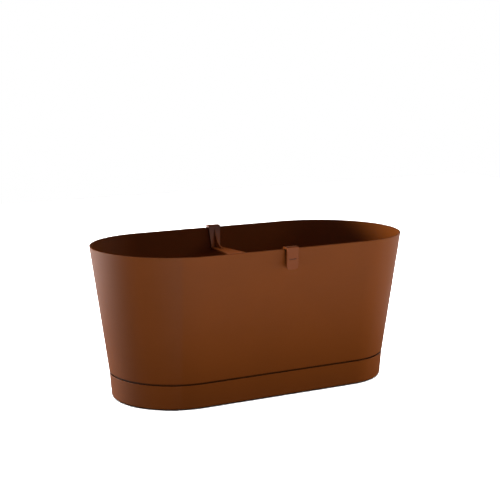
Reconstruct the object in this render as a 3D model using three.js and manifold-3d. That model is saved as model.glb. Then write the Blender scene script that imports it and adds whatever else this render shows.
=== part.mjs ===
// A long oval self-watering planter: a tapered pot nested in a flush water tray, a moulded brace that hooks
// over both long rims, and the pieces inside that feed the water. Millimetres, +Z up.
// The origin is on the ground under the middle of the pot. X runs along the pot.
import * as THREE from "three";
import { mergeVertices } from "three/addons/utils/BufferGeometryUtils.js";
import Module from "manifold-3d";

const wasm = await Module();
wasm.setup();

// Driving dimensions of the pot and its tray
const RIM_LENGTH = 600;
const RIM_WIDTH = 290;
const RIM_TOP = 270;
const WALL = 3;
const SEAM_HEIGHT = 45.7; // middle of the shadow gap between pot and tray
const SEAM_GAP = 2.4;
const POT_FOOT_RADIUS = 115; // of the round ends, at the pot's lower edge
const TRAY_RIM_RADIUS = 114.6;
const TRAY_BASE_RADIUS = 111;
const TRAY_CORNER = 5; // rounding between the tray's wall and its underside
const FOOT_PROUD = 1; // how far the pads lift the tray off the ground
const TRAY_FLOOR = 4; // thickness of the tray's floor

const RIM_RADIUS = RIM_WIDTH / 2;
const HALF_STRAIGHT = (RIM_LENGTH - RIM_WIDTH) / 2;
const POT_EDGE = SEAM_HEIGHT + SEAM_GAP / 2;
const TRAY_TOP = SEAM_HEIGHT - SEAM_GAP / 2;
const DRAFT = (RIM_RADIUS - POT_FOOT_RADIUS) / (RIM_TOP - POT_EDGE);

// The fit of one piece beside another
const TOUCH = 0.3;
const LOOSE = 0.5;

// The pot's recessed skirt and the ledge inside it that carries the soil grid
const SKIRT_BOTTOM = 31;
const SKIRT_TOP_RADIUS = 110.8;
const SKIRT_FOOT_RADIUS = 109.6;
const LEDGE_INNER_RADIUS = 97;
const LEDGE_TOP = SKIRT_BOTTOM + WALL;

// The soil grid
const GRID_RADIUS = SKIRT_FOOT_RADIUS - WALL - LOOSE;
const GRID_BOTTOM = LEDGE_TOP + TOUCH;
const GRID_TOP = GRID_BOTTOM + 3;

// The wick cups: wells that hang through the grid into the water
const CUP_X = 150;
const CUP_MOUTH = 43;
const CUP_FOOT = 37;
const CUP_BOTTOM = 8.5;
const CUP_WALL = 2;
const CUP_FLANGE = 49;

// The filling tube and the level gauge stand in the grid near the front wall
const TUBE_Y = -78;
const FILL_X = 75;
const FILL_RADIUS = 13;
const FILL_BORE = 11;
const FILL_TOP = 240;
const GAUGE_X = -75;
const GAUGE_RADIUS = 9;
const GAUGE_BORE = 7.5;
const GAUGE_TOP = 214.7;
const WINDOW_TOP = 247;
const TUBE_FOOT = 8;
const COLLAR = 3;

// The flap lid's hinge on the filling tube
const HINGE_Y = TUBE_Y - 17.2;
const HINGE_Z = FILL_TOP + 1;
const HINGE_PIN = 1.25;
const KNUCKLE = 2.8;

// The brace: a strap across the pot, a leg up each wall, a cap over the rim and a tab outside
const STRAP_TOP = RIM_TOP - 37;
const STRAP_THICK = 3;
const STRAP_END_WIDTH = 17; // at the legs
const STRAP_MID_WIDTH = 44; // over the middle of the pot
const CAP_WIDTH = 24;
const CAP_TOP = RIM_TOP + 3.5;
const LEG_THICK = 3;
const TAB_FACE = 152;
const TAB_THICK = 3.5;
const TAB_WIDTH = 22;
const TAB_BOTTOM = RIM_TOP - 34.5;
const TAB_CORNER = 5.5;
const GUSSET_THICK = 2;
const GUSSET_REACH = 98; // where the gusset's edge runs out into the strap

// The drain in the tray's back wall
const DRAIN_Z = 15;
const DRAIN_RADIUS = 6;
const BOSS_RADIUS = 12;
const BOSS_FACE = 114;

// The pads under the tray
const PAD_RADIUS = 12;
const PAD_THICK = 3;

const ROUND_END_STEPS = 48;

// ---------------------------------------------------------------- materials

function plastic(color, roughness) {
  return new THREE.MeshStandardMaterial({ color, roughness, metalness: 0 });
}

const potBrown = () => plastic(0x6e3c1e, 0.5);
const insideBrown = () => plastic(0x5a3018, 0.55);
const blackPlastic = () => plastic(0x1d1c1b, 0.5);
const blackRubber = () => plastic(0x161616, 0.85);
const floatWhite = () => plastic(0xe4e1d8, 0.6);
const rodRed = () => plastic(0xb3231c, 0.4);
const pinSteel = () =>
  new THREE.MeshStandardMaterial({ color: 0xa8aaac, roughness: 0.3, metalness: 1 });
const clearWindow = () =>
  new THREE.MeshStandardMaterial({
    color: 0xdfe8ea,
    roughness: 0.1,
    metalness: 0,
    transparent: true,
    opacity: 0.4,
  });

// ------------------------------------------------------- solids and booleans

function solidOf(geometry) {
  const bare = geometry.index ? geometry.toNonIndexed() : geometry.clone();
  bare.deleteAttribute("normal");
  bare.deleteAttribute("uv");
  const merged = mergeVertices(bare, 1e-3);
  return new wasm.Manifold(
    new wasm.Mesh({
      numProp: 3,
      vertProperties: new Float32Array(merged.attributes.position.array),
      triVerts: new Uint32Array(merged.index.array),
    }),
  );
}

function geometryOf(solid) {
  const mesh = solid.getMesh();
  const geometry = new THREE.BufferGeometry();
  geometry.setAttribute("position", new THREE.BufferAttribute(mesh.vertProperties, 3));
  geometry.setIndex(new THREE.BufferAttribute(mesh.triVerts, 1));
  geometry.computeVertexNormals();
  return geometry;
}

function joined(geometries) {
  const solids = geometries.map(solidOf);
  return geometryOf(solids.reduce((whole, piece) => whole.add(piece)));
}

function cutFrom(geometry, cutters) {
  const tools = cutters.map(solidOf).reduce((all, tool) => all.add(tool));
  return geometryOf(solidOf(geometry).subtract(tools));
}

// A profile of [radius, height] pairs turned about the Z axis.
function turned(profile, steps = 32) {
  const points = profile.map(([radius, z]) => new THREE.Vector2(radius, z));
  return new THREE.LatheGeometry(points, steps).rotateX(Math.PI / 2);
}

// The same, with its two halves pulled apart along X: an oval with straight sides and round ends.
// The flats of the turned shape lie on the axes, and the radius is theirs, so length and width are exact.
function oval(profile) {
  const step = (2 * Math.PI) / ROUND_END_STEPS;
  const start = step / 2;
  const points = profile.map(([radius, z]) => new THREE.Vector2(radius / Math.cos(step / 2), z));
  const geometry = new THREE.LatheGeometry(points, ROUND_END_STEPS, start).rotateX(Math.PI / 2);
  const position = geometry.attributes.position;
  for (let i = 0; i < position.count; i++) {
    const column = Math.floor(i / profile.length);
    const side = Math.sign(Math.sin(start + column * step));
    position.setX(i, position.getX(i) + side * HALF_STRAIGHT);
  }
  return geometry;
}

function upright(radius, bottom, top, x = 0, y = 0, steps = 24) {
  return new THREE.CylinderGeometry(radius, radius, top - bottom, steps)
    .rotateX(Math.PI / 2)
    .translate(x, y, (bottom + top) / 2);
}

function alongY(radius, from, to, x, z, steps = 24) {
  return new THREE.CylinderGeometry(radius, radius, to - from, steps).translate(x, (from + to) / 2, z);
}

function alongX(radius, from, to, y, z, steps = 16) {
  return new THREE.CylinderGeometry(radius, radius, to - from, steps)
    .rotateZ(Math.PI / 2)
    .translate((from + to) / 2, y, z);
}

function block(low, high) {
  const size = high.map((value, i) => value - low[i]);
  const middle = high.map((value, i) => (value + low[i]) / 2);
  return new THREE.BoxGeometry(...size).translate(...middle);
}

// An outline drawn in Y and Z, given a width along X about X = middle.
function slabAcross(shape, width, middle = 0) {
  const turn = new THREE.Matrix4().makeBasis(
    new THREE.Vector3(0, 1, 0),
    new THREE.Vector3(0, 0, 1),
    new THREE.Vector3(1, 0, 0),
  );
  return new THREE.ExtrudeGeometry(shape, { depth: width, bevelEnabled: false, curveSegments: 10 })
    .translate(0, 0, -width / 2)
    .applyMatrix4(turn)
    .translate(middle, 0, 0);
}

function mesh(name, geometry, material) {
  const made = new THREE.Mesh(geometry, material);
  made.name = name;
  return made;
}

// The radius of the pot's outer wall at a height.
const potRadius = (z) => RIM_RADIUS - (RIM_TOP - z) * DRAFT;

// ------------------------------------------------------------------ the tray

const padPlaces = [
  [-215, -58],
  [0, -86],
  [215, -58],
  [215, 58],
  [0, 86],
  [-215, 58],
];

function trayPosts() {
  const underLedge = (SKIRT_FOOT_RADIUS - WALL + LEDGE_INNER_RADIUS) / 2;
  const posts = [];
  for (const x of [-155, -52, 52, 155]) {
    for (const side of [-1, 1]) {
      posts.push(upright(5, FOOT_PROUD + 2, SKIRT_BOTTOM - TOUCH, x, side * underLedge, 12));
    }
  }
  for (const angle of [45, 135, 225, 315]) {
    const turn = THREE.MathUtils.degToRad(angle);
    const end = HALF_STRAIGHT * Math.sign(Math.cos(turn));
    const x = end + underLedge * Math.cos(turn);
    posts.push(upright(5, FOOT_PROUD + 2, SKIRT_BOTTOM - TOUCH, x, underLedge * Math.sin(turn), 12));
  }
  for (const [x, y] of [[-232, 0], [0, -35], [0, 35], [232, 0]]) {
    posts.push(upright(6, FOOT_PROUD + 2, GRID_BOTTOM - TOUCH, x, y, 12));
  }
  return posts;
}

function waterTray() {
  const base = FOOT_PROUD;
  const floor = base + TRAY_FLOOR;
  const corner = [];
  for (const degrees of [0, 30, 60, 90]) {
    const turn = THREE.MathUtils.degToRad(degrees);
    const radius = TRAY_BASE_RADIUS - TRAY_CORNER * (1 - Math.sin(turn));
    corner.push([radius, base + TRAY_CORNER * (1 - Math.cos(turn))]);
  }
  const shell = oval([
    [0, base],
    ...corner,
    [TRAY_RIM_RADIUS - 0.1, TRAY_TOP - 0.8],
    [TRAY_RIM_RADIUS - 0.8, TRAY_TOP],
    [TRAY_RIM_RADIUS - WALL + 0.4, TRAY_TOP],
    [TRAY_RIM_RADIUS - WALL, TRAY_TOP - 0.6],
    [TRAY_BASE_RADIUS - WALL, floor],
    [0, floor],
  ]);
  const boss = alongY(BOSS_RADIUS, 106, BOSS_FACE, 0, DRAIN_Z, 32);
  const pockets = padPlaces.map(([x, y]) =>
    upright(PAD_RADIUS + TOUCH, -1, PAD_THICK + TOUCH, x, y, 24),
  );
  const drain = alongY(DRAIN_RADIUS, 100, 120, 0, DRAIN_Z);
  const overflow = alongY(3.5, 100, 120, 60, SKIRT_BOTTOM - 5, 16);
  return cutFrom(joined([shell, boss, ...trayPosts()]), [...pockets, drain, overflow]);
}

function footPad([x, y]) {
  const profile = [
    [0, 0],
    [PAD_RADIUS - 0.6, 0],
    [PAD_RADIUS, 0.6],
    [PAD_RADIUS, PAD_THICK],
    [0, PAD_THICK],
  ];
  return turned(profile, 24).translate(x, y, 0);
}

// ------------------------------------------------------------------- the pot

function potShell() {
  const shelf = POT_EDGE + WALL;
  return oval([
    [SKIRT_FOOT_RADIUS, SKIRT_BOTTOM],
    [SKIRT_TOP_RADIUS, POT_EDGE],
    [POT_FOOT_RADIUS - 0.8, POT_EDGE],
    [POT_FOOT_RADIUS, POT_EDGE + 0.8],
    [potRadius(RIM_TOP - 1), RIM_TOP - 1],
    [RIM_RADIUS - 1, RIM_TOP],
    [RIM_RADIUS - WALL + 0.8, RIM_TOP],
    [RIM_RADIUS - WALL, RIM_TOP - 0.8],
    [potRadius(shelf) - WALL, shelf],
    [SKIRT_TOP_RADIUS - WALL, shelf],
    [SKIRT_FOOT_RADIUS - WALL, SKIRT_BOTTOM],
    [SKIRT_FOOT_RADIUS, SKIRT_BOTTOM],
  ]);
}

// The flat ring inside the skirt's foot that carries the soil grid. It is a mesh of its own, so that
// the shell stays a plain sleeve.
function potLedge() {
  const outer = SKIRT_FOOT_RADIUS - WALL - TOUCH;
  return oval([
    [outer, SKIRT_BOTTOM],
    [outer, LEDGE_TOP],
    [LEDGE_INNER_RADIUS, LEDGE_TOP],
    [LEDGE_INNER_RADIUS, SKIRT_BOTTOM],
    [outer, SKIRT_BOTTOM],
  ]);
}

// ----------------------------------------------------------------- the brace

// Across the pot, where the back and the front of a leg stand at a height.
const legBack = (z) => RIM_RADIUS - WALL - LOOSE - (RIM_TOP - z) * DRAFT;
const legFront = (z) => legBack(z) - LEG_THICK;

// The cap over the rim, drawn in Y and Z with rounded shoulders.
function braceCap() {
  const round = 2;
  const inner = legFront(CAP_TOP);
  const shape = new THREE.Shape();
  shape.moveTo(inner, RIM_TOP + TOUCH);
  shape.lineTo(TAB_FACE, RIM_TOP + TOUCH);
  shape.lineTo(TAB_FACE, CAP_TOP - round);
  shape.quadraticCurveTo(TAB_FACE, CAP_TOP, TAB_FACE - round, CAP_TOP);
  shape.lineTo(inner + round, CAP_TOP);
  shape.quadraticCurveTo(inner, CAP_TOP, inner, CAP_TOP - round);
  shape.closePath();
  return slabAcross(shape, CAP_WIDTH);
}

// A leg narrows from the cap down to the strap and leans with the pot's wall.
function braceLeg() {
  const foot = STRAP_TOP - STRAP_THICK;
  const top = RIM_TOP + 1;
  const shape = new THREE.Shape();
  shape.moveTo(-STRAP_END_WIDTH / 2, foot);
  shape.lineTo(STRAP_END_WIDTH / 2, foot);
  shape.lineTo(CAP_WIDTH / 2, top);
  shape.lineTo(-CAP_WIDTH / 2, top);
  shape.closePath();
  const lean = new THREE.Matrix4().makeShear(0, 0, 0, 0, 0, DRAFT);
  return new THREE.ExtrudeGeometry(shape, { depth: LEG_THICK, bevelEnabled: false })
    .rotateX(Math.PI / 2)
    .applyMatrix4(lean)
    .translate(0, legBack(0), 0);
}

// The strap is widest over the middle of the pot and narrows to the legs.
function braceStrap() {
  const end = legBack(STRAP_TOP - STRAP_THICK);
  const shape = new THREE.Shape();
  const half = [STRAP_END_WIDTH / 2, STRAP_MID_WIDTH / 2];
  shape.moveTo(half[0], -end);
  shape.quadraticCurveTo(half[1], -end / 5, half[1], 0);
  shape.quadraticCurveTo(half[1], end / 5, half[0], end);
  shape.lineTo(-half[0], end);
  shape.quadraticCurveTo(-half[1], end / 5, -half[1], 0);
  shape.quadraticCurveTo(-half[1], -end / 5, -half[0], -end);
  shape.closePath();
  return new THREE.ExtrudeGeometry(shape, {
    depth: STRAP_THICK,
    bevelEnabled: false,
    curveSegments: 8,
  }).translate(0, 0, STRAP_TOP - STRAP_THICK);
}

// The thin rib inside each corner. Its free edge curves down from the leg and runs out into the strap.
function braceGusset() {
  const top = RIM_TOP - 4;
  const shape = new THREE.Shape();
  shape.moveTo(GUSSET_REACH, STRAP_TOP - 1);
  shape.lineTo(legFront(STRAP_TOP) + 1, STRAP_TOP - 1);
  shape.lineTo(legFront(top) + 1, top);
  shape.lineTo(legFront(top) - 0.5, top);
  shape.quadraticCurveTo(legFront(STRAP_TOP) - 5.5, STRAP_TOP + 2, GUSSET_REACH, STRAP_TOP);
  shape.closePath();
  return slabAcross(shape, GUSSET_THICK);
}

// The tab hanging outside the rim, with its lower corners rounded.
function braceTab() {
  const half = TAB_WIDTH / 2;
  const top = RIM_TOP + 1;
  const shape = new THREE.Shape();
  shape.moveTo(-half, top);
  shape.lineTo(-half, TAB_BOTTOM + TAB_CORNER);
  shape.absarc(-half + TAB_CORNER, TAB_BOTTOM + TAB_CORNER, TAB_CORNER, Math.PI, 1.5 * Math.PI);
  shape.absarc(half - TAB_CORNER, TAB_BOTTOM + TAB_CORNER, TAB_CORNER, 1.5 * Math.PI, 2 * Math.PI);
  shape.lineTo(half, top);
  shape.closePath();
  const plate = new THREE.ExtrudeGeometry(shape, {
    depth: TAB_THICK,
    bevelEnabled: false,
    curveSegments: 6,
  });
  return plate.rotateX(Math.PI / 2).translate(0, TAB_FACE, 0);
}

// Ribs behind the tab that bear on the rim's outer edge and centre the hook on it.
function tabRib(x) {
  const low = TAB_BOTTOM + 8;
  const shape = new THREE.Shape();
  shape.moveTo(TAB_FACE - 1, low - 3);
  shape.lineTo(TAB_FACE - 1, RIM_TOP + 1);
  shape.lineTo(RIM_RADIUS + LOOSE, RIM_TOP + 1);
  shape.lineTo(RIM_RADIUS + LOOSE, low);
  shape.closePath();
  return slabAcross(shape, GUSSET_THICK, x);
}

function crossBrace() {
  const end = [braceCap(), braceLeg(), braceGusset(), braceTab(), tabRib(-7.5), tabRib(7.5)];
  const otherEnd = end.map((piece) => piece.clone().rotateZ(Math.PI));
  const grip = 5.5;
  const grooveZ = RIM_TOP - 17;
  const grooves = [-1, 1].map((side) =>
    block([-grip, side * TAB_FACE - 0.6, grooveZ - 0.8], [grip, side * TAB_FACE + 0.6, grooveZ + 0.8]),
  );
  return cutFrom(joined([braceStrap(), ...end, ...otherEnd]), grooves);
}

// ----------------------------------------------------- grid, cups and tubes

function gridSlots() {
  const slots = [];
  const low = GRID_BOTTOM - 1;
  const high = GRID_TOP + 1;
  const slot = (x, y, halfX, halfY) => block([x - halfX, y - halfY, low], [x + halfX, y + halfY, high]);
  for (const side of [-1, 1]) {
    for (const x of [-36, -12, 12, 36]) {
      slots.push(slot(x + side * 6, side * 58, 2, 14));
    }
    for (const y of [-68, 68]) {
      slots.push(slot(side * 150, y, 22, 2));
      slots.push(slot(side * 150, y * 1.22, 22, 2));
    }
    for (const y of [-36, -18, 18, 36]) {
      slots.push(slot(side * 216, y, 14, 2));
    }
    slots.push(slot(side * 70, 14, 2, 18));
    slots.push(slot(side * 84, 14, 2, 18));
  }
  return slots;
}

function soilGrid() {
  const plate = oval([
    [0, GRID_BOTTOM],
    [GRID_RADIUS, GRID_BOTTOM],
    [GRID_RADIUS, GRID_TOP],
    [0, GRID_TOP],
  ]);
  const holes = [
    upright(CUP_MOUTH + LOOSE, 0, 60, -CUP_X, 0, 40),
    upright(CUP_MOUTH + LOOSE, 0, 60, CUP_X, 0, 40),
    upright(FILL_RADIUS + TOUCH, 0, 60, FILL_X, TUBE_Y),
    upright(GAUGE_RADIUS + TOUCH, 0, 60, GAUGE_X, TUBE_Y),
  ];
  return cutFrom(plate, [...holes, ...gridSlots()]);
}

function wickCup(x) {
  const flangeBottom = GRID_TOP + TOUCH;
  const cup = turned(
    [
      [0, CUP_BOTTOM],
      [CUP_FOOT, CUP_BOTTOM],
      [CUP_MOUTH, flangeBottom],
      [CUP_FLANGE, flangeBottom],
      [CUP_FLANGE, flangeBottom + 2.5],
      [CUP_MOUTH - CUP_WALL, flangeBottom + 2.5],
      [CUP_FOOT - CUP_WALL, CUP_BOTTOM + CUP_WALL],
      [0, CUP_BOTTOM + CUP_WALL],
    ],
    40,
  );
  const slots = [];
  for (let k = 0; k < 10; k++) {
    slots.push(block([25, -1.6, 14], [50, 1.6, 31]).rotateZ((k * Math.PI) / 5));
  }
  for (let k = 0; k < 6; k++) {
    slots.push(upright(2.5, 0, 20, 20, 0, 10).rotateZ((k * Math.PI) / 3));
  }
  slots.push(upright(2.5, 0, 20, 0, 0, 10));
  return cutFrom(cup, slots).translate(x, 0, 0);
}

function standTube(radius, bore, top) {
  const collarBottom = GRID_TOP + TOUCH;
  return turned([
    [bore, TUBE_FOOT],
    [radius, TUBE_FOOT],
    [radius, collarBottom],
    [radius + 3.5, collarBottom],
    [radius + 3.5, collarBottom + COLLAR],
    [radius, collarBottom + COLLAR],
    [radius, top],
    [bore, top],
    [bore, TUBE_FOOT],
  ]);
}

// The two ears beside the flap's knuckle, drawn in Y and Z about the tube's own axis.
function hingeEar(x) {
  const y = HINGE_Y - TUBE_Y;
  const shape = new THREE.Shape();
  shape.moveTo(-FILL_BORE - 1, FILL_TOP - 12);
  shape.lineTo(y - KNUCKLE, HINGE_Z - 4);
  shape.lineTo(y - KNUCKLE, HINGE_Z);
  shape.absarc(y, HINGE_Z, KNUCKLE, Math.PI, 0, true);
  shape.lineTo(y + KNUCKLE, FILL_TOP - 0.6);
  shape.lineTo(-FILL_BORE - 1, FILL_TOP - 0.6);
  shape.closePath();
  return slabAcross(shape, 3, x);
}

function fillTube() {
  const tube = standTube(FILL_RADIUS, FILL_BORE, FILL_TOP);
  const whole = joined([tube, hingeEar(-5.6), hingeEar(5.6)]);
  const outlets = block([-20, -5, 0], [20, 5, 16]);
  const pinHole = alongX(HINGE_PIN + TOUCH, -20, 20, HINGE_Y - TUBE_Y, HINGE_Z);
  return cutFrom(whole, [outlets, pinHole]).translate(FILL_X, TUBE_Y, 0);
}

function fillCap() {
  const seat = FILL_TOP + TOUCH;
  const disc = turned([
    [0, seat],
    [8.6, seat],
    [8.6, seat - 3],
    [10.2, seat - 3],
    [10.2, seat],
    [14.2, seat],
    [14.2, seat + 1.8],
    [13.4, seat + 2.5],
    [0, seat + 2.5],
  ]);
  const hinge = HINGE_Y - TUBE_Y;
  const knuckle = alongX(KNUCKLE - 0.2, -3.6, 3.6, hinge, HINGE_Z);
  const tongue = block([-3.6, hinge, seat], [3.6, -10, seat + 2.5]);
  const lip = block([-4, 13, seat + 0.4], [4, 17, seat + 2.2]);
  const pinHole = alongX(HINGE_PIN + TOUCH, -20, 20, hinge, HINGE_Z);
  return cutFrom(joined([disc, knuckle, tongue, lip]), [pinHole]).translate(FILL_X, TUBE_Y, 0);
}

function capPin() {
  return alongX(HINGE_PIN, FILL_X - 7.4, FILL_X + 7.4, HINGE_Y, HINGE_Z);
}

// The gauge tube has a lip at its foot that stops the float, and a guide for the rod at its top.
function gaugeTube() {
  const tube = standTube(GAUGE_RADIUS, GAUGE_BORE, GAUGE_TOP);
  const ring = (inner, bottom, top) =>
    turned([
      [inner, bottom],
      [GAUGE_BORE + 0.5, bottom],
      [GAUGE_BORE + 0.5, top],
      [inner, top],
      [inner, bottom],
    ]);
  const stop = ring(5, TUBE_FOOT, TUBE_FOOT + 1.5);
  const guide = ring(2.1, GAUGE_TOP - 3, GAUGE_TOP);
  return joined([tube, stop, guide]).translate(GAUGE_X, TUBE_Y, 0);
}

const FLOAT_BOTTOM = TUBE_FOOT + 1.5 + TOUCH;
const FLOAT_TOP = FLOAT_BOTTOM + 14;

function gaugeFloat() {
  return turned(
    [
      [0, FLOAT_BOTTOM],
      [5.6, FLOAT_BOTTOM],
      [6.8, FLOAT_BOTTOM + 1.2],
      [6.8, FLOAT_TOP - 1.2],
      [5.6, FLOAT_TOP],
      [0, FLOAT_TOP],
    ],
    24,
  ).translate(GAUGE_X, TUBE_Y, 0);
}

function gaugeRod() {
  const bead = GAUGE_TOP + 4;
  return turned(
    [
      [0, FLOAT_TOP + TOUCH],
      [1.5, FLOAT_TOP + TOUCH],
      [1.5, bead],
      [3.2, bead + 1],
      [3.2, bead + 5],
      [0, bead + 7],
    ],
    16,
  ).translate(GAUGE_X, TUBE_Y, 0);
}

function gaugeWindow() {
  const bottom = GAUGE_TOP + TOUCH;
  return turned([
    [GAUGE_BORE, bottom],
    [GAUGE_RADIUS, bottom],
    [GAUGE_RADIUS, WINDOW_TOP - 3],
    [GAUGE_RADIUS - 3, WINDOW_TOP],
    [0, WINDOW_TOP],
    [0, WINDOW_TOP - 1.5],
    [GAUGE_RADIUS - 3.6, WINDOW_TOP - 1.5],
    [GAUGE_BORE, WINDOW_TOP - 3.6],
    [GAUGE_BORE, bottom],
  ]).translate(GAUGE_X, TUBE_Y, 0);
}

// ----------------------------------------------------------------- the drain

const SEAL_NEAR = BOSS_FACE + TOUCH;
const SEAL_FAR = SEAL_NEAR + 2;

function drainSeal() {
  const ring = [
    [DRAIN_RADIUS, SEAL_NEAR],
    [BOSS_RADIUS - 1.5, SEAL_NEAR],
    [BOSS_RADIUS - 1.5, SEAL_FAR],
    [DRAIN_RADIUS, SEAL_FAR],
    [DRAIN_RADIUS, SEAL_NEAR],
  ];
  return turned(ring, 24).rotateX(-Math.PI / 2).translate(0, 0, DRAIN_Z);
}

function drainPlug() {
  const head = SEAL_FAR + TOUCH;
  const body = turned([
    [0, 104],
    [DRAIN_RADIUS - 1.4, 104],
    [DRAIN_RADIUS - TOUCH, 105.4],
    [DRAIN_RADIUS - TOUCH, head],
    [BOSS_RADIUS - 1, head],
    [BOSS_RADIUS - 1, head + 2.5],
    [BOSS_RADIUS - 2, head + 3],
    [0, head + 3],
  ]);
  const grip = block([-1.6, -8, head + 2], [1.6, 8, head + 9]);
  return joined([body, grip]).rotateX(-Math.PI / 2).translate(0, 0, DRAIN_Z);
}

// ------------------------------------------------------------- the assembly

const planter = new THREE.Group();
planter.name = "self_watering_planter";

planter.add(mesh("water_tray", waterTray(), potBrown()));
padPlaces.forEach((place, k) => {
  planter.add(mesh(`foot_pad_${k + 1}`, footPad(place), blackRubber()));
});
planter.add(mesh("pot_shell", potShell(), potBrown()));
planter.add(mesh("pot_ledge", potLedge(), potBrown()));
planter.add(mesh("cross_brace", crossBrace(), potBrown()));
planter.add(mesh("soil_grid", soilGrid(), insideBrown()));
planter.add(mesh("wick_cup_left", wickCup(-CUP_X), blackPlastic()));
planter.add(mesh("wick_cup_right", wickCup(CUP_X), blackPlastic()));
planter.add(mesh("fill_tube", fillTube(), insideBrown()));
planter.add(mesh("fill_cap", fillCap(), insideBrown()));
planter.add(mesh("cap_pin", capPin(), pinSteel()));
planter.add(mesh("gauge_tube", gaugeTube(), insideBrown()));
planter.add(mesh("gauge_float", gaugeFloat(), floatWhite()));
planter.add(mesh("gauge_rod", gaugeRod(), rodRed()));
planter.add(mesh("gauge_window", gaugeWindow(), clearWindow()));
planter.add(mesh("drain_seal", drainSeal(), blackRubber()));
planter.add(mesh("drain_plug", drainPlug(), blackPlastic()));

export default planter;
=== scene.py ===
import math

import bpy
from mathutils import Matrix, Vector


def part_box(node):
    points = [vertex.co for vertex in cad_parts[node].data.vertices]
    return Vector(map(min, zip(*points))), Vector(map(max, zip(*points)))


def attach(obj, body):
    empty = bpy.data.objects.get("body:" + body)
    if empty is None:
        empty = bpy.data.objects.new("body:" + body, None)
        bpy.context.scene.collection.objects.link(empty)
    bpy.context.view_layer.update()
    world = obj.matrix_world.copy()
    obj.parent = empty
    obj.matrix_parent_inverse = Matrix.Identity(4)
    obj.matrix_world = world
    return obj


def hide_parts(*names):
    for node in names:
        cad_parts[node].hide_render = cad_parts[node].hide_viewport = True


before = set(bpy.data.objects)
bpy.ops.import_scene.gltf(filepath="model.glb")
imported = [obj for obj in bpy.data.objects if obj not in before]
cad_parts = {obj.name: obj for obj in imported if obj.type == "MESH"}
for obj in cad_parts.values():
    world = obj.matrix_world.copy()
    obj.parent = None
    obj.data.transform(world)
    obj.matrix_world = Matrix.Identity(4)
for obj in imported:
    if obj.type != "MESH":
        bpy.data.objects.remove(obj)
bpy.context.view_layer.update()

# The self-watering planter's looks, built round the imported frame. Metres, +Z up, +X along the planter.

# ------------------------------------------------------- sizes from the frame
pot_low, pot_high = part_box("pot_shell")
tray_low, tray_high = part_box("water_tray")
_, brace_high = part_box("cross_brace")
grid_low, grid_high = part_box("soil_grid")
cup_low, cup_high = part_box("wick_cup_right")
fill_low, fill_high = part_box("fill_tube")
gauge_low, gauge_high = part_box("gauge_tube")
window_low, window_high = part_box("gauge_window")
float_low, float_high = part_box("gauge_float")
rod_low, rod_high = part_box("gauge_rod")
seal_low, seal_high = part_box("drain_seal")
plug_low, plug_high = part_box("drain_plug")
pin_low, pin_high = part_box("cap_pin")

HALF_STRAIGHT = pot_high.x - pot_high.y
RIM_RADIUS = pot_high.y
RIM_TOP = pot_high.z
SKIRT_BOTTOM = pot_low.z
TRAY_RIM_RADIUS = tray_high.y
TRAY_BASE = tray_low.z
TRAY_TOP = tray_high.z

# ----------------------------- sizes that the frame's boxes don't give: the pot and the tray
WALL = 0.003
SEAM_GAP = 0.0033  # the frame has 0.0024
POT_EDGE = TRAY_TOP + SEAM_GAP
POT_FOOT_RADIUS = 0.115
SKIRT_TOP_RADIUS = 0.1108
SKIRT_FOOT_RADIUS = 0.1096
LEDGE_RADIUS = 0.097
LEDGE_TOP = SKIRT_BOTTOM + WALL
TRAY_BASE_RADIUS = 0.111
TRAY_CORNER = 0.005
TRAY_FLOOR = TRAY_BASE + 0.004
DRAFT = (RIM_RADIUS - POT_FOOT_RADIUS) / (RIM_TOP - POT_EDGE)
TOUCH = 0.0003  # between pieces that touch
LOOSE = 0.0005  # between pieces that slide

# The brace.
STRAP_TOP = RIM_TOP - 0.037
STRAP_THICK = 0.003
STRAP_END_WIDTH = 0.017
STRAP_MID_WIDTH = 0.044
LEG_THICK = 0.003
TAB_THICK = 0.0035
BRACE_SKEW = math.radians(-1.2)  # slightly askew on the rims; the frame has it straight
TAB_WIDTH = 0.022
TAB_BOTTOM = RIM_TOP - 0.035  # the frame has 0.0345
TAB_CORNER = 0.0072  # the frame has 0.0055
CAP_WIDTH = 0.024
RIB_BOTTOM = TAB_BOTTOM + 0.008
RIB_X = 0.0075
GROOVE_HALF_WIDTH = 0.0065
GROOVE_HALF_HEIGHT = 0.0011
GROOVE_DEPTH = 0.0012
GROOVE_Z = RIM_TOP - 0.017
GUSSET_THICK = 0.002
GUSSET_REACH = 0.098

# The wick cups, the tubes and the flap's hinge.
CUP_MOUTH = 0.043
CUP_FOOT = 0.037
CUP_WALL = 0.002
FILL_RADIUS = 0.013
FILL_BORE = 0.011
FILL_TOP = 0.240
GAUGE_RADIUS = 0.009
GAUGE_BORE = 0.0075
COLLAR = 0.003
TUBE_Y = (gauge_low.y + gauge_high.y) / 2
FILL_X = (fill_low.x + fill_high.x) / 2
GAUGE_X = (gauge_low.x + gauge_high.x) / 2
KNUCKLE = 0.0028
HINGE_PIN = (pin_high.z - pin_low.z) / 2
HINGE_Y = (pin_low.y + pin_high.y) / 2
HINGE_Z = (pin_low.z + pin_high.z) / 2

# The drain and the pads.
DRAIN_Z = (seal_low.z + seal_high.z) / 2
DRAIN_RADIUS = 0.006
BOSS_RADIUS = 0.012
BOSS_FACE = 0.114
PAD_RADIUS = 0.012
PAD_THICK = 0.003

END_STEPS = 60  # facets round each round end
SIDE_STEPS = 16  # facets along each straight side
SHARP_ANGLE = math.radians(35)


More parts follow.
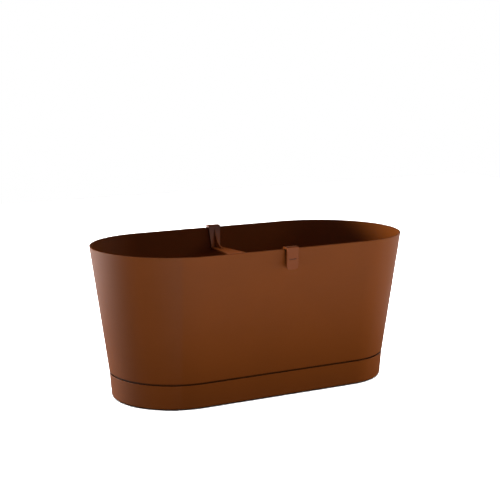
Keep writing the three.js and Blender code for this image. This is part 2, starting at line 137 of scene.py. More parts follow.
# -------------------------------------------------------------------- outlines
def rounded(outline, steps=4):
    """Corner points (a, b, radius): each corner with a radius becomes a smooth turn."""
    points = []
    for k, (a, b, radius) in enumerate(outline):
        corner = Vector((a, b))
        if radius == 0:
            points.append(corner)
            continue
        before = Vector(outline[k - 1][:2]) - corner
        after = Vector(outline[(k + 1) % len(outline)][:2]) - corner
        reach = radius / math.tan(before.angle(after) / 2)
        start = corner + before.normalized() * reach
        end = corner + after.normalized() * reach
        for i in range(steps + 1):
            t = i / steps
            points.append(start * (1 - t) ** 2 + corner * 2 * t * (1 - t) + end * t * t)
    return points


def curve_points(start, control, end, steps=10):
    """A quadratic curve, without its first point."""
    start, control, end = Vector(start), Vector(control), Vector(end)
    turns = [(k + 1) / steps for k in range(steps)]
    return [start * (1 - t) ** 2 + control * 2 * t * (1 - t) + end * t * t for t in turns]


# ---------------------------------------------------------------------- shapes
# A shape is a pair: a list of points and a list of faces.
def swept(profile, stations, closed):
    """A (radius, height) profile carried round stations (middle x, angle) about the Z axis."""
    points = []
    for middle, angle in stations:
        for radius, height in profile:
            points.append(Vector((middle + radius * math.cos(angle), radius * math.sin(angle), height)))
    count = len(profile)
    rings = len(stations)
    faces = []
    for ring in range(rings):
        here = ring * count
        there = (ring + 1) % rings * count
        for k in range(count if closed else count - 1):
            after = (k + 1) % count
            faces.append((here + k, there + k, there + after, here + after))
    if not closed:
        faces.append([ring * count for ring in reversed(range(rings))])
        faces.append([ring * count + count - 1 for ring in range(rings)])
    return points, faces


def oval(profile, closed=True):
    stations = []
    for middle, first in ((HALF_STRAIGHT, -math.pi / 2), (-HALF_STRAIGHT, math.pi / 2)):
        for k in range(END_STEPS):
            stations.append((middle, first + math.pi * k / END_STEPS))
        for k in range(SIDE_STEPS):
            stations.append((middle * (1 - 2 * k / SIDE_STEPS), first + math.pi))
    return swept(profile, stations, closed)


def turned(profile, steps=64, closed=False):
    return swept(profile, [(0, 2 * math.pi * k / steps) for k in range(steps)], closed)


def plate(outline, thickness):
    """An outline drawn in X and Y, standing on Z = 0."""
    count = len(outline)
    points = [Vector((a, b, 0)) for a, b in outline] + [Vector((a, b, thickness)) for a, b in outline]
    faces = [list(reversed(range(count))), list(range(count, 2 * count))]
    for k in range(count):
        after = (k + 1) % count
        faces.append((k, after, after + count, k + count))
    return points, faces


def across(outline, width, middle=0.0):
    """An outline drawn in Y and Z, with a width along X."""
    points, faces = plate(outline, width)
    return [Vector((p.z - width / 2 + middle, p.x, p.y)) for p in points], faces


def moved(shape, matrix):
    points, faces = shape
    return [matrix @ p for p in points], faces


def shifted(shape, x=0.0, y=0.0, z=0.0):
    return moved(shape, Matrix.Translation((x, y, z)))


def block(low, high):
    outline = [(low[0], low[1]), (high[0], low[1]), (high[0], high[1]), (low[0], high[1])]
    return shifted(plate(outline, high[2] - low[2]), z=low[2])


def upright(radius, bottom, top, x=0.0, y=0.0, steps=32):
    return shifted(turned([(radius, bottom), (radius, top)], steps), x, y)


def along_y(shape):
    """A shape made about the Z axis, laid so that its Z runs along +Y."""
    return moved(shape, Matrix.Rotation(-math.pi / 2, 4, "X"))


def along_x(shape):
    return moved(shape, Matrix.Rotation(math.pi / 2, 4, "Y"))


def together(shapes):
    points, faces = [], []
    for more_points, more_faces in shapes:
        base = len(points)
        points += more_points
        faces += [[base + k for k in face] for face in more_faces]
    return points, faces


# ---------------------------------------------------------------------- pieces
def mesh_of(name, shape):
    data = bpy.data.meshes.new(name)
    data.from_pydata([tuple(p) for p in shape[0]], [], [list(f) for f in shape[1]])
    data.validate()
    return data


def object_of(name, shape):
    piece = bpy.data.objects.new(name, mesh_of(name, shape))
    bpy.context.scene.collection.objects.link(piece)
    return piece


def combined(piece, shapes, operation):
    """The piece after each shape is added to it or cut from it, as one mesh."""
    tools = [object_of("tool", shape) for shape in shapes]
    for tool in tools:
        modifier = piece.modifiers.new("boolean", "BOOLEAN")
        modifier.operation = operation
        modifier.solver = "EXACT"
        modifier.object = tool
    graph = bpy.context.evaluated_depsgraph_get()
    result = bpy.data.meshes.new_from_object(piece.evaluated_get(graph))
    piece.modifiers.clear()
    piece.data = result
    for tool in tools:
        bpy.data.objects.remove(tool)
    return piece


def softened(piece, width):
    """Small rounds on every edge that is sharper than SHARP_ANGLE."""
    modifier = piece.modifiers.new("soft_edges", "BEVEL")
    modifier.width = width
    modifier.segments = 2
    modifier.limit_method = "ANGLE"
    modifier.angle_limit = SHARP_ANGLE


def finished(piece, body, material, replaced):
    """Smooth shading, its material, its body and the node that it stands for."""
    piece.data.shade_smooth()
    piece.data.set_sharp_from_angle(angle=SHARP_ANGLE)
    piece.data.materials.clear()
    piece.data.materials.append(material)
    normals = piece.modifiers.new("even_normals", "WEIGHTED_NORMAL")
    normals.keep_sharp = True
    normals.weight = 80
    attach(piece, body)
    if replaced:
        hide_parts(replaced)
    return piece


# ------------------------------------------------------------------- materials
class Nodes:
    """A material's node tree, with short calls for the nodes that the finishes share."""

    def __init__(self, name):
        self.material = bpy.data.materials.new(name)
        self.material.use_nodes = True
        self.tree = self.material.node_tree
        self.shader = self.tree.nodes["Principled BSDF"]
        self.place = self.add("ShaderNodeTexCoord").outputs["Object"]

    def add(self, kind):
        return self.tree.nodes.new(kind)

    def link(self, output, socket):
        self.tree.links.new(output, socket)

    def stretched(self, scale):
        mapping = self.add("ShaderNodeMapping")
        mapping.inputs["Scale"].default_value = scale
        self.link(self.place, mapping.inputs["Vector"])
        return mapping.outputs["Vector"]

    def noise(self, scale, detail=3.0, roughness=0.5, place=None):
        node = self.add("ShaderNodeTexNoise")
        node.inputs["Scale"].default_value = scale
        node.inputs["Detail"].default_value = detail
        node.inputs["Roughness"].default_value = roughness
        self.link(place or self.place, node.inputs["Vector"])
        return node.outputs["Fac"]

    def ranged(self, value, low, high, from_low=0.3, from_high=0.7):
        node = self.add("ShaderNodeMapRange")
        node.inputs["From Min"].default_value = from_low
        node.inputs["From Max"].default_value = from_high
        node.inputs["To Min"].default_value = low
        node.inputs["To Max"].default_value = high
        self.link(value, node.inputs["Value"])
        return node.outputs["Result"]

    def mixed(self, factor, first, second):
        node = self.add("ShaderNodeMix")
        node.data_type = "RGBA"
        self.link(factor, node.inputs["Factor"])
        for value, socket in ((first, node.inputs[6]), (second, node.inputs[7])):
            if isinstance(value, tuple):
                socket.default_value = value
            else:
                self.link(value, socket)
        return node.outputs[2]

    def bump(self, height, strength, distance, below=None):
        node = self.add("ShaderNodeBump")
        node.inputs["Strength"].default_value = strength
        node.inputs["Distance"].default_value = distance
        self.link(height, node.inputs["Height"])
        if below:
            self.link(below, node.inputs["Normal"])
        return node.outputs["Normal"]

    def edge_mask(self, radius):
        """1 on edges and 0 on flats: how far a rounded normal leans from the true one."""
        bevel = self.add("ShaderNodeBevel")
        bevel.samples = 4
        bevel.inputs["Radius"].default_value = radius
        geometry = self.add("ShaderNodeNewGeometry")
        product = self.add("ShaderNodeVectorMath")
        product.operation = "DOT_PRODUCT"
        self.link(bevel.outputs["Normal"], product.inputs[0])
        self.link(geometry.outputs["Normal"], product.inputs[1])
        return self.ranged(product.outputs["Value"], 1.0, 0.0, 0.75, 0.98)


def tint(colour, factor):
    return tuple(channel * factor for channel in colour) + (1.0,)


def moulded_plastic(name, colour, roughness, specular, grain=1.0):
    """Matte injection-moulded plastic.

    It has a fine pitted grain, faint flow lines, slightly uneven tone, painted shade in its creases and
    gaps, and lighter edges: part wear, part painted highlight.
    """
    nodes = Nodes(name)
    clouds = nodes.ranged(nodes.noise(9.0, 4.0, 0.6), 0.0, 1.0)
    speckle = nodes.ranged(nodes.noise(900.0, 2.0), 0.0, 1.0)
    lines = nodes.noise(40.0, 4.0, 0.6, nodes.stretched((0.25, 0.25, 9.0)))
    flow = nodes.ranged(lines, 0.0, 1.0)
    shade = nodes.mixed(clouds, tint(colour, 0.95), tint(colour, 1.05))
    shade = nodes.mixed(nodes.ranged(flow, 0.0, 0.35, 0.0, 1.0), shade, tint(colour, 1.06))
    shade = nodes.mixed(nodes.ranged(speckle, 0.0, 0.25, 0.0, 1.0), shade, tint(colour, 0.88))
    # Painted shade: ambient occlusion darkens the colour almost to black in creases, seams and gaps
    # between parts.
    painted_shade_occlusion = nodes.add("ShaderNodeAmbientOcclusion")
    painted_shade_occlusion.samples = 8
    painted_shade_occlusion.inputs["Distance"].default_value = 0.007
    painted_shade_mask = nodes.ranged(painted_shade_occlusion.outputs["AO"], 1.0, 0.0, 0.3, 0.75)
    shade = nodes.mixed(painted_shade_mask, shade, tint(colour, 0.12))
    # Lighter, greyer edges: partly rubbed wear, partly a painted edge highlight.
    rubbed_and_highlit = tuple(0.75 * channel + 0.25 * max(colour) for channel in colour)
    wear_and_highlight_mask = nodes.ranged(nodes.edge_mask(0.0012), 0.0, 0.45, 0.0, 1.0)
    shade = nodes.mixed(wear_and_highlight_mask, shade, tint(rubbed_and_highlit, 1.3))
    nodes.link(shade, nodes.shader.inputs["Base Color"])
    gloss = nodes.ranged(clouds, roughness - 0.03, roughness + 0.04, 0.0, 1.0)
    nodes.link(gloss, nodes.shader.inputs["Roughness"])
    fine = nodes.bump(nodes.noise(1500.0, 3.0, 0.6), 0.25 * grain, 0.00012)
    coarse = nodes.bump(nodes.noise(320.0, 2.0), 0.18 * grain, 0.00025, fine)
    nodes.link(nodes.bump(flow, 0.05 * grain, 0.0004, coarse), nodes.shader.inputs["Normal"])
    nodes.shader.inputs["Specular IOR Level"].default_value = specular
    return nodes.material


def foam_material(name, colour):
    """Closed-cell foam: round cells in the surface with darker joints."""
    nodes = Nodes(name)
    cells = nodes.add("ShaderNodeTexVoronoi")
    cells.inputs["Scale"].default_value = 900.0
    nodes.link(nodes.place, cells.inputs["Vector"])
    depth = nodes.ranged(cells.outputs["Distance"], 1.0, 0.0, 0.1, 0.8)
    shade = nodes.mixed(depth, tint(colour, 0.82), tint(colour, 1.0))
    nodes.link(shade, nodes.shader.inputs["Base Color"])
    nodes.link(nodes.bump(depth, 0.5, 0.0003), nodes.shader.inputs["Normal"])
    nodes.shader.inputs["Roughness"].default_value = 0.8
    return nodes.material


def rubber_material(name, colour):
    nodes = Nodes(name)
    dust = nodes.ranged(nodes.noise(260.0, 5.0, 0.65), 0.0, 1.0, 0.45, 0.75)
    shade = nodes.mixed(dust, tint(colour, 1.0), tint(colour, 1.8))
    nodes.link(shade, nodes.shader.inputs["Base Color"])
    nodes.link(nodes.ranged(dust, 0.7, 0.92, 0.0, 1.0), nodes.shader.inputs["Roughness"])
    nodes.link(nodes.bump(nodes.noise(1300.0, 3.0), 0.3, 0.0002), nodes.shader.inputs["Normal"])
    nodes.shader.inputs["Specular IOR Level"].default_value = 0.3
    return nodes.material


def gloss_material(name, colour):
    """Glossy dip-coated plastic with faint waviness and fine dust scratches."""
    nodes = Nodes(name)
    wave = nodes.noise(60.0, 2.0)
    streaks = nodes.noise(500.0, 3.0, 0.6, nodes.stretched((6.0, 6.0, 0.4)))
    scratch = nodes.ranged(streaks, 0.0, 1.0, 0.55, 0.8)
    shade = nodes.mixed(wave, tint(colour, 0.9), tint(colour, 1.1))
    nodes.link(shade, nodes.shader.inputs["Base Color"])
    nodes.link(nodes.ranged(scratch, 0.18, 0.4, 0.0, 1.0), nodes.shader.inputs["Roughness"])
    nodes.link(nodes.bump(wave, 0.08, 0.0005), nodes.shader.inputs["Normal"])
    return nodes.material


def clear_material(name, colour):
    """Clear moulded styrene, slightly scuffed."""
    nodes = Nodes(name)
    scuff = nodes.ranged(nodes.noise(220.0, 5.0, 0.7), 0.0, 1.0, 0.5, 0.8)
    shade = nodes.mixed(scuff, tint(colour, 1.0), tint(colour, 0.9))
    nodes.link(shade, nodes.shader.inputs["Base Color"])
    nodes.link(nodes.ranged(scuff, 0.04, 0.22, 0.0, 1.0), nodes.shader.inputs["Roughness"])
    nodes.link(nodes.bump(nodes.noise(90.0, 2.0), 0.05, 0.0004), nodes.shader.inputs["Normal"])
    nodes.shader.inputs["Transmission Weight"].default_value = 0.92
    nodes.shader.inputs["IOR"].default_value = 1.3
    return nodes.material


def brushed_steel(name, colour):
    """Drawn wire: fine lines along X."""
    nodes = Nodes(name)
    lines = nodes.noise(900.0, 4.0, 0.6, nodes.stretched((0.05, 3.0, 3.0)))
    shade = nodes.mixed(lines, tint(colour, 0.8), tint(colour, 1.1))
    nodes.link(shade, nodes.shader.inputs["Base Color"])
    nodes.link(nodes.ranged(lines, 0.22, 0.4), nodes.shader.inputs["Roughness"])
    nodes.link(nodes.bump(lines, 0.2, 0.0001), nodes.shader.inputs["Normal"])
    nodes.shader.inputs["Metallic"].default_value = 1.0
    return nodes.material


POT_BROWN = (0.195, 0.0465, 0.0050)
BRACE_BROWN = (0.205, 0.0460, 0.0060)
INNER_BROWN = (0.110, 0.0310, 0.0090)

pot_plastic = moulded_plastic("pot_plastic", POT_BROWN, 0.5, 0.35)
brace_plastic = moulded_plastic("brace_plastic", BRACE_BROWN, 0.42, 0.35, 0.6)
inner_plastic = moulded_plastic("inner_plastic", INNER_BROWN, 0.5, 0.3, 0.7)
cup_plastic = moulded_plastic("cup_plastic", (0.012, 0.012, 0.0115), 0.5, 0.35, 0.8)
pad_rubber = rubber_material("pad_rubber", (0.006, 0.006, 0.006))
float_foam = foam_material("float_foam", (0.78, 0.76, 0.68))
rod_red = gloss_material("rod_red", (0.45, 0.02, 0.012))
window_clear = clear_material("window_clear", (0.93, 0.96, 0.97))
pin_steel = brushed_steel("pin_steel", (0.42, 0.43, 0.44))


# ------------------------------------------------------------------------ tray
PAD_PLACES = [
    (-0.215, -0.058), (0, -0.086), (0.215, -0.058),
    (0.215, 0.058), (0, 0.086), (-0.215, 0.058),
]
TRAY_MIDDLE_RADIUS = 0.09  # inside this the tray's floor is one flat face
OVERFLOW_RADIUS = 0.0035
OVERFLOW_X = 0.06


def post(radius, top, x, y):
    """A post on the tray's floor, with a rounded head and a flared foot."""
    profile = rounded([
        (radius + 0.0012, TRAY_FLOOR - 0.001, 0),
        (radius + 0.0012, TRAY_FLOOR, 0),
        (radius, TRAY_FLOOR + 0.002, 0.001),
        (radius, top, 0.0006),
        (0.0005, top, 0),
    ])
    return shifted(turned(profile, 28), x, y)


def tray_posts():
    under_ledge = (SKIRT_FOOT_RADIUS - WALL + LEDGE_RADIUS) / 2
    ledge_post = SKIRT_BOTTOM - TOUCH
    grid_post = LEDGE_TOP
    posts = []
    for x in (-HALF_STRAIGHT, -0.052, 0.052, HALF_STRAIGHT):
        for side in (-1, 1):
            posts.append(post(0.005, ledge_post, x, side * under_ledge))
    for angle in (45, 135, 225, 315):
        turn = math.radians(angle)
        end = math.copysign(HALF_STRAIGHT, math.cos(turn))
        place = (end + under_ledge * math.cos(turn), under_ledge * math.sin(turn))
        posts.append(post(0.005, ledge_post, *place))
    for x, y in ((-0.232, 0), (0, -0.035), (0, 0.035), (0.232, 0)):
        posts.append(post(0.006, grid_post, x, y))
    return posts


def drain_boss():
    ring = rounded([
        (DRAIN_RADIUS, BOSS_FACE, 0.0004),
        (DRAIN_RADIUS, 0.1065, 0),
        (BOSS_RADIUS, 0.1065, 0),
        (BOSS_RADIUS, BOSS_FACE, 0.0006),
    ])
    return shifted(along_y(turned(ring, 64, closed=True)), z=DRAIN_Z)


def make_tray():
    inner = TRAY_BASE_RADIUS - WALL
    profile = rounded([
        (TRAY_MIDDLE_RADIUS, TRAY_BASE, 0),
        (TRAY_BASE_RADIUS, TRAY_BASE, TRAY_CORNER),
        (TRAY_RIM_RADIUS, TRAY_TOP, 0.0008),
        (TRAY_RIM_RADIUS - WALL, TRAY_TOP, 0.0006),
        (inner, TRAY_FLOOR, 0.0035),
        (TRAY_MIDDLE_RADIUS, TRAY_FLOOR, 0),
    ], 6)
    pockets = [upright(PAD_RADIUS + TOUCH, -0.001, PAD_THICK + TOUCH, x, y) for x, y in PAD_PLACES]
    drain = shifted(along_y(upright(DRAIN_RADIUS, 0.1, 0.12)), z=DRAIN_Z)
    overflow = along_y(upright(OVERFLOW_RADIUS, 0.1, 0.12))
    overflow = shifted(overflow, OVERFLOW_X, 0, SKIRT_BOTTOM - 0.005)
    tray = object_of("tray_visual", oval(profile, closed=False))
    return combined(tray, [*pockets, drain, overflow], "DIFFERENCE")


def make_tray_posts():
    return object_of("tray_posts_visual", together(tray_posts() + [drain_boss()]))


def make_pad(x, y):
    """A turned rubber pad with two grip rings in its underside."""
    profile = rounded([
        (0.0005, 0.0004, 0),
        (0.004, 0.0004, 0),
        (0.0045, 0, 0.0001),
        (0.0060, 0, 0.0001),
        (0.0065, 0.0006, 0.0001),
        (0.0078, 0.0006, 0.0001),
        (0.0083, 0, 0.0001),
        (PAD_RADIUS, 0, 0.0006),
        (PAD_RADIUS, PAD_THICK, 0.0003),
        (0.0005, PAD_THICK, 0),
    ])
    return shifted(turned(profile, 48), x, y)


# ------------------------------------------------------------------------- pot
def pot_radius(z):
    return RIM_RADIUS - (RIM_TOP - z) * DRAFT


def make_pot():
    shelf = POT_EDGE + WALL
    profile = rounded([
        (SKIRT_FOOT_RADIUS, SKIRT_BOTTOM, 0.0005),
        (SKIRT_TOP_RADIUS, POT_EDGE, 0.0005),
        (POT_FOOT_RADIUS, POT_EDGE, 0.0008),
        (RIM_RADIUS, RIM_TOP, 0.0009),
        (RIM_RADIUS - WALL, RIM_TOP, 0.0009),
        (pot_radius(shelf) - WALL, shelf, 0.0015),
        (SKIRT_TOP_RADIUS - WALL, shelf, 0.001),
        (SKIRT_FOOT_RADIUS - WALL, LEDGE_TOP, 0.001),
        (LEDGE_RADIUS, LEDGE_TOP, 0.0005),
        (LEDGE_RADIUS, SKIRT_BOTTOM, 0.0005),
    ], 5)
    return object_of("pot_visual", oval(profile))


# ----------------------------------------------------------------------- brace
def leg_back(z):
    return RIM_RADIUS - WALL - LOOSE - (RIM_TOP - z) * DRAFT


def leg_front(z):
    return leg_back(z) - LEG_THICK


def brace_cap():
    inner = leg_front(brace_high.z)
    low = RIM_TOP + TOUCH
    outline = rounded([
        (inner, low, 0),
        (brace_high.y, low, 0),
        (brace_high.y, brace_high.z, 0.002),
        (inner, brace_high.z, 0.002),
    ], 5)
    return across(outline, CAP_WIDTH)


def brace_leg():
    foot = STRAP_TOP - STRAP_THICK
    top = RIM_TOP + 0.001
    outline = [
        (-STRAP_END_WIDTH / 2, foot),
        (STRAP_END_WIDTH / 2, foot),
        (CAP_WIDTH / 2, top),
        (-CAP_WIDTH / 2, top),
    ]
    points, faces = plate(outline, LEG_THICK)
    upright_points = []
    for p in points:
        upright_points.append(Vector((p.x, leg_back(p.y) - p.z, p.y)))
    return upright_points, [list(reversed(face)) for face in faces]


def brace_strap():
    end = leg_back(STRAP_TOP - STRAP_THICK)
    thin = STRAP_END_WIDTH / 2
    wide = STRAP_MID_WIDTH / 2
    right = [Vector((thin, -end))]
    right += curve_points((thin, -end), (wide, -end / 5), (wide, 0), 14)
    right += curve_points((wide, 0), (wide, end / 5), (thin, end), 14)
    left = [Vector((-p.x, -p.y)) for p in right]
    return shifted(plate(right + left, STRAP_THICK), z=STRAP_TOP - STRAP_THICK)


def brace_gusset():
    top = RIM_TOP - 0.004
    start = (leg_front(top) - 0.0005, top)
    control = (leg_front(STRAP_TOP) - 0.0055, STRAP_TOP + 0.002)
    outline = [
        Vector((GUSSET_REACH, STRAP_TOP - 0.001)),
        Vector((leg_front(STRAP_TOP) + 0.001, STRAP_TOP - 0.001)),
        Vector((leg_front(top) + 0.001, top)),
        Vector(start),
    ]
    outline += curve_points(start, control, (GUSSET_REACH, STRAP_TOP), 16)
    return across(outline, GUSSET_THICK)


def brace_tab():
    half = TAB_WIDTH / 2
    top = RIM_TOP + 0.001
    outline = rounded([
        (-half, top, 0),
        (-half, TAB_BOTTOM, TAB_CORNER),
        (half, TAB_BOTTOM, TAB_CORNER),
        (half, top, 0),
    ], 8)
    points, faces = plate(outline, TAB_THICK)
    hung = [Vector((p.x, brace_high.y - p.z, p.y)) for p in points]
    return hung, [list(reversed(face)) for face in faces]


def tab_rib(x):
    outline = [
        (brace_high.y - 0.001, RIB_BOTTOM - 0.003),
        (brace_high.y - 0.001, RIM_TOP + 0.001),
        (RIM_RADIUS + LOOSE, RIM_TOP + 0.001),
        (RIM_RADIUS + LOOSE, RIB_BOTTOM),
    ]
    return across(outline, GUSSET_THICK, x)


def groove(side):
    """A plain shallow line across the tab, at the front for side -1 and at the back for side 1."""
    face = side * brace_high.y
    low = (-GROOVE_HALF_WIDTH, face - GROOVE_DEPTH, GROOVE_Z - GROOVE_HALF_HEIGHT)
    high = (GROOVE_HALF_WIDTH, face + GROOVE_DEPTH, GROOVE_Z + GROOVE_HALF_HEIGHT)
    return block(low, high)


def make_brace():
    ribs = [tab_rib(-RIB_X), tab_rib(RIB_X)]
    end = [brace_cap(), brace_leg(), brace_gusset(), brace_tab(), *ribs]
    other_end = [moved(shape, Matrix.Rotation(math.pi, 4, "Z")) for shape in end]
    brace = combined(object_of("brace_visual", brace_strap()), end + other_end, "UNION")
    combined(brace, [groove(-1), groove(1)], "DIFFERENCE")
    brace.data.transform(Matrix.Rotation(BRACE_SKEW, 4, "Z"))
    return brace


# -------------------------------------------------------------- grid and cups
def slot_outline(x, y, half_x, half_y):
    radius = min(half_x, half_y) * 0.999
    corners = [(-half_x, -half_y), (half_x, -half_y), (half_x, half_y), (-half_x, half_y)]
    return rounded([(x + a, y + b, radius) for a, b in corners], 6)


def circle_outline(x, y, radius, steps=72):
    turns = [2 * math.pi * k / steps for k in range(steps)]
    return [Vector((x + radius * math.cos(t), y + radius * math.sin(t))) for t in turns]


def grid_slots():
    slots = []
    for side in (-1, 1):
        for x in (-0.036, -0.012, 0.012, 0.036):
            slots.append(slot_outline(x + side * 0.006, side * 0.058, 0.002, 0.014))
        for y in (-0.068, 0.068):
            slots.append(slot_outline(side * 0.15, y, 0.022, 0.002))
            slots.append(slot_outline(side * 0.15, y * 1.22, 0.022, 0.002))
        for y in (-0.036, -0.018, 0.018, 0.036):
            slots.append(slot_outline(side * 0.216, y, 0.014, 0.002))
        slots.append(slot_outline(side * 0.070, 0.014, 0.002, 0.018))
        slots.append(slot_outline(side * 0.084, 0.014, 0.002, 0.018))
    return slots


def make_grid():
    """A flat curve with its holes, given a thickness and rounded edges."""
    radius = grid_high.y
    edge = [Vector((p.x, p.y)) for p in oval([(radius, 0)], closed=True)[0]]
    cup_x = (cup_low.x + cup_high.x) / 2
    holes = [
        circle_outline(-cup_x, 0, CUP_MOUTH + LOOSE),
        circle_outline(cup_x, 0, CUP_MOUTH + LOOSE),
        circle_outline(FILL_X, TUBE_Y, FILL_RADIUS + TOUCH),
        circle_outline(GAUGE_X, TUBE_Y, GAUGE_RADIUS + TOUCH),
        *grid_slots(),
    ]
    bevel = 0.0004
    curve = bpy.data.curves.new("grid_outline", "CURVE")
    curve.dimensions = "2D"
    curve.fill_mode = "BOTH"
    curve.extrude = (grid_high.z - grid_low.z) / 2 - bevel
    curve.bevel_depth = bevel
    curve.bevel_resolution = 2
    curve.offset = -bevel
    for outline in [edge, *holes]:
        spline = curve.splines.new("POLY")
        spline.points.add(len(outline) - 1)
        for point, place in zip(spline.points, outline):
            point.co = (place.x, place.y, 0, 1)
        spline.use_cyclic_u = True
    drawn = bpy.data.objects.new("grid_outline", curve)
    bpy.context.scene.collection.objects.link(drawn)
    graph = bpy.context.evaluated_depsgraph_get()
    data = bpy.data.meshes.new_from_object(drawn.evaluated_get(graph))
    bpy.data.objects.remove(drawn)
    data.transform(Matrix.Translation((0, 0, (grid_high.z + grid_low.z) / 2)))
    piece = bpy.data.objects.new("grid_visual", data)
    bpy.context.scene.collection.objects.link(piece)
    return piece


def make_cup(name, x):
    flange_bottom = cup_high.z - 0.0025
    bottom = cup_low.z
    flange = (cup_high.x - cup_low.x) / 2
    profile = rounded([
        (0.001, bottom, 0),
        (CUP_FOOT, bottom, 0.002),
        (CUP_MOUTH, flange_bottom, 0.0006),
        (flange, flange_bottom, 0.0006),
        (flange, cup_high.z, 0.0008),
        (CUP_MOUTH - CUP_WALL, cup_high.z, 0.001),
        (CUP_FOOT - CUP_WALL, bottom + CUP_WALL, 0.0015),
        (0.001, bottom + CUP_WALL, 0),
    ])
    slots = []
    for k in range(10):
        turn = Matrix.Rotation(k * math.pi / 5, 4, "Z")
        slots.append(moved(block((0.025, -0.0016, 0.014), (0.05, 0.0016, 0.031)), turn))
    for k in range(6):
        slots.append(moved(upright(0.0025, 0, 0.02, 0.02), Matrix.Rotation(k * math.pi / 3, 4, "Z")))
    slots.append(upright(0.0025, 0, 0.02))
    cup = combined(object_of(name, turned(profile, 96)), slots, "DIFFERENCE")
    cup.data.transform(Matrix.Translation((x, 0, 0)))
    return cup


# ----------------------------------------------------------------------- tubes
def stand_tube(radius, bore, foot, top):
    collar = grid_high.z + TOUCH
    profile = rounded([
        (bore, foot, 0.0004),
        (radius, foot, 0.0004),
        (radius, collar, 0),
        (radius + 0.0035, collar, 0.0004),
        (radius + 0.0035, collar + COLLAR, 0.0006),
        (radius, collar + COLLAR, 0.0008),
        (radius, top, 0.0005),
        (bore, top, 0.0005),
    ])
    return turned(profile, 72, closed=True)


def hinge_ear(x):
    y = HINGE_Y - TUBE_Y
    outline = [
        Vector((-FILL_BORE - 0.001, FILL_TOP - 0.012)),
        Vector((y - KNUCKLE, HINGE_Z - 0.004)),
        Vector((y - KNUCKLE, HINGE_Z)),
    ]
    for k in range(1, 12):
        turn = math.pi * (1 - k / 12)
        outline.append(Vector((y + KNUCKLE * math.cos(turn), HINGE_Z + KNUCKLE * math.sin(turn))))
    outline += [
        Vector((y + KNUCKLE, HINGE_Z)),
        Vector((y + KNUCKLE, FILL_TOP - 0.0006)),
        Vector((-FILL_BORE - 0.001, FILL_TOP - 0.0006)),
    ]
    return across(list(reversed(outline)), 0.003, x)


def pin_hole():
    return shifted(along_x(upright(HINGE_PIN + TOUCH, -0.02, 0.02)), 0, HINGE_Y - TUBE_Y, HINGE_Z)


def make_fill_tube():
    tube = object_of("fill_tube_visual", stand_tube(FILL_RADIUS, FILL_BORE, fill_low.z, FILL_TOP))
    combined(tube, [hinge_ear(-0.0056), hinge_ear(0.0056)], "UNION")
    outlets = block((-0.02, -0.005, 0), (0.02, 0.005, 0.016))
    combined(tube, [outlets, pin_hole()], "DIFFERENCE")
    tube.data.transform(Matrix.Translation((FILL_X, TUBE_Y, 0)))
    return tube


def make_fill_cap():
    """The flap: a ribbed disc with a plug ring below, a knuckle at the hinge and a lip for a finger."""
    seat = FILL_TOP + TOUCH
    profile = rounded([
        (0.0005, seat, 0),
        (0.0086, seat, 0),
        (0.0086, seat - 0.003, 0.0003),
        (0.0102, seat - 0.003, 0.0003),
        (0.0102, seat, 0),
        (0.0142, seat, 0.0003),
        (0.0142, seat + 0.0025, 0.0007),
        (0.0118, seat + 0.0025, 0.0003),
        (0.0114, seat + 0.0021, 0.0003),
        (0.0005, seat + 0.0021, 0),
    ])
    hinge = HINGE_Y - TUBE_Y
    knuckle = shifted(along_x(upright(KNUCKLE - 0.0002, -0.0036, 0.0036)), 0, hinge, HINGE_Z)
    tongue = block((-0.0036, hinge, seat), (0.0036, -0.01, seat + 0.0025))
    lip = shifted(plate(slot_outline(0, 0.015, 0.004, 0.002), 0.0018), z=seat + 0.0004)
    ridges = []
    for x in (-0.002, 0, 0.002):
        ridges.append(block((x - 0.0004, 0.0, seat + 0.0018), (x + 0.0004, 0.009, seat + 0.0025)))
    cap = object_of("fill_cap_visual", turned(profile, 72))
    combined(cap, [knuckle, tongue, lip, *ridges], "UNION")
    combined(cap, [pin_hole()], "DIFFERENCE")
    cap.data.transform(Matrix.Translation((FILL_X, TUBE_Y, 0)))
    return cap


def make_cap_pin():
    """A steel pin with chamfered ends."""
    length = pin_high.x - pin_low.x
    profile = rounded([
        (0.0002, -length / 2, 0),
        (HINGE_PIN, -length / 2, 0.0003),
        (HINGE_PIN, length / 2, 0.0003),
        (0.0002, length / 2, 0),
    ])
    return object_of("cap_pin_visual", shifted(along_x(turned(profile, 40)), FILL_X, HINGE_Y, HINGE_Z))


def ring(inner, outer, bottom, top):
    profile = rounded([
        (inner, bottom, 0.0003),
        (outer, bottom, 0),
        (outer, top, 0),
        (inner, top, 0.0003),
    ])
    return turned(profile, 64, closed=True)


def make_gauge_tube():
    tube = stand_tube(GAUGE_RADIUS, GAUGE_BORE, gauge_low.z, gauge_high.z)
    stop = ring(0.005, GAUGE_BORE + 0.0005, gauge_low.z, gauge_low.z + 0.0015)
    guide = ring(0.0021, GAUGE_BORE + 0.0005, gauge_high.z - 0.003, gauge_high.z)
    return object_of("gauge_tube_visual", shifted(together([tube, stop, guide]), GAUGE_X, TUBE_Y))


def make_float():
    radius = (float_high.x - float_low.x) / 2
    profile = rounded([
        (0.0005, float_low.z, 0),
        (radius, float_low.z, 0.0016),
        (radius, float_high.z, 0.0016),
        (0.0005, float_high.z, 0),
    ], 6)
    return object_of("gauge_float_visual", shifted(turned(profile, 48), GAUGE_X, TUBE_Y))


def make_rod():
    bead = rod_high.z - 0.007
    profile = rounded([
        (0.0003, rod_low.z, 0),
        (0.0015, rod_low.z, 0.0003),
        (0.0015, bead, 0.0004),
        (0.0032, bead + 0.001, 0.0004),
        (0.0032, bead + 0.005, 0.001),
        (0.0003, rod_high.z, 0),
    ])
    return object_of("gauge_rod_visual", shifted(turned(profile, 40), GAUGE_X, TUBE_Y))


